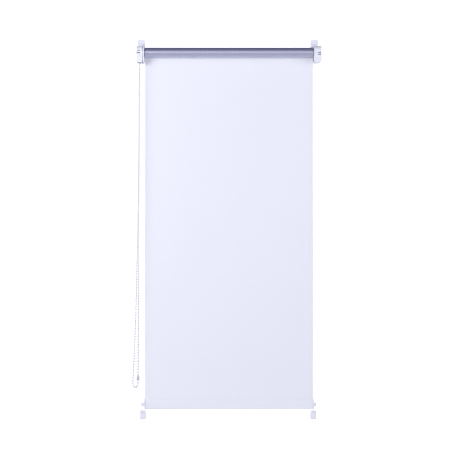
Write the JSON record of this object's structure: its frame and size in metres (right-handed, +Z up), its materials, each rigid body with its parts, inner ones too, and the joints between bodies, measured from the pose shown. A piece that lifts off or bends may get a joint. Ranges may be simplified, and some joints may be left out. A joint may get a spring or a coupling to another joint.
{
  "type": "roller blind",
  "caption": "Clip-on roller blind on over-the-sash hooks: cloth on a sprung tube clutch, ball chain loop, taut side guide strings and weighted bottom bar.",
  "frame": {"origin": "middle of the window sash's top edge between the two hooks, on the sash's room-side face", "axes": "+X along the roller to the right as seen from the room, +Y into the window, +Z up"},
  "size_m": [0.416, 0.0631, 0.8368],
  "materials": {
    "white_abs": "moulded, satin gloss",
    "acetal": "moulded, slippery and smooth",
    "chain_plastic": "moulded beads on a polyester cord",
    "aluminium": "mill finish, drawn",
    "steel": "zinc plated",
    "white_cloth": "woven polyester, coated on the back",
    "silver_coating": "metallised coating, satin",
    "nylon": "drawn monofilament",
    "tape": "double-sided adhesive tape"
  },
  "bodies": {
    "mounting": {"bracket_left": "white_abs", "cheek_left": "white_abs", "clutch_core": "acetal", "core_screw": "steel", "core_retainer": "steel", "bracket_right": "white_abs", "cheek_right": "white_abs", "idle_bush": "acetal", "clamp_screw_left": "steel", "clamp_screw_right": "steel", "string_stop_left": "steel", "string_stop_right": "steel", "top_hook_left": "white_abs", "top_hook_right": "white_abs", "bottom_holder_left": "white_abs", "bottom_holder_right": "white_abs", "string_screw_left": "acetal", "string_screw_right": "acetal", "guide_string_left": "nylon", "guide_string_right": "nylon", "fabric_drop": "white_cloth"},
    "roller": {"roller_tube": "aluminium", "fabric_roll": "silver_coating", "fixing_tape": "tape", "chain_wheel": "acetal", "drive_plug": "acetal", "wrap_spring_outer": "steel", "wrap_spring_inner": "steel", "idle_plug": "acetal", "idle_spring": "steel"},
    "pin": {"idle_pin": "acetal"},
    "bottom_rail": {"hem_pocket": "white_cloth", "bottom_bar": "aluminium", "bar_cap_left": "white_abs", "bar_cap_right": "white_abs"},
    "chain": {"drive_chain": "chain_plastic", "chain_wrap": "chain_plastic"},
    "connector": {"chain_connector": "chain_plastic"},
    "jaw_left": {"hook_jaw_left": "white_abs"},
    "jaw_right": {"hook_jaw_right": "white_abs"}
  },
  "joints": [
    {"name": "roller_spin", "type": "hinge", "parent": "mounting", "child": "roller", "pos_m": [0, -0.02, -0.0257], "axis": [1, 0, 0], "range_deg": [0, 3384]},
    {"name": "bar_slide", "type": "slide", "parent": "mounting", "child": "bottom_rail", "axis": [0, 0, 1], "range_m": [0, 0.7315], "deforming": ["fabric_drop"]},
    {"name": "idle_pin_slide", "type": "slide", "parent": "roller", "child": "pin", "axis": [1, 0, 0], "range_m": [-0.0065, 0], "stiffness_N_per_m": 300, "springref_m": 0.004, "deforming": ["idle_spring"]},
    {"name": "chain_swing", "type": "hinge", "parent": "mounting", "child": "chain", "pos_m": [-0.1969, -0.02, -0.0257], "axis": [-1, 0, 0], "range_deg": [0, 7]},
    {"name": "connector_travel", "type": "slide", "parent": "chain", "child": "connector", "axis": [0.0046, 0.0027, 1], "range_m": [0, 0.5642]},
    {"name": "jaw_left_slide", "type": "slide", "parent": "mounting", "child": "jaw_left", "axis": [0, 1, 0], "range_m": [-0.005, 0.0025]},
    {"name": "jaw_right_slide", "type": "slide", "parent": "mounting", "child": "jaw_right", "axis": [0, 1, 0], "range_m": [-0.005, 0.0025]}
  ],
  "couplings": [
    {"joint": "bar_slide", "follows": "roller_spin", "m_per_rad": 0.012385},
    {"joint": "connector_travel", "follows": "roller_spin", "m_per_rad": 0.0095493}
  ]
}
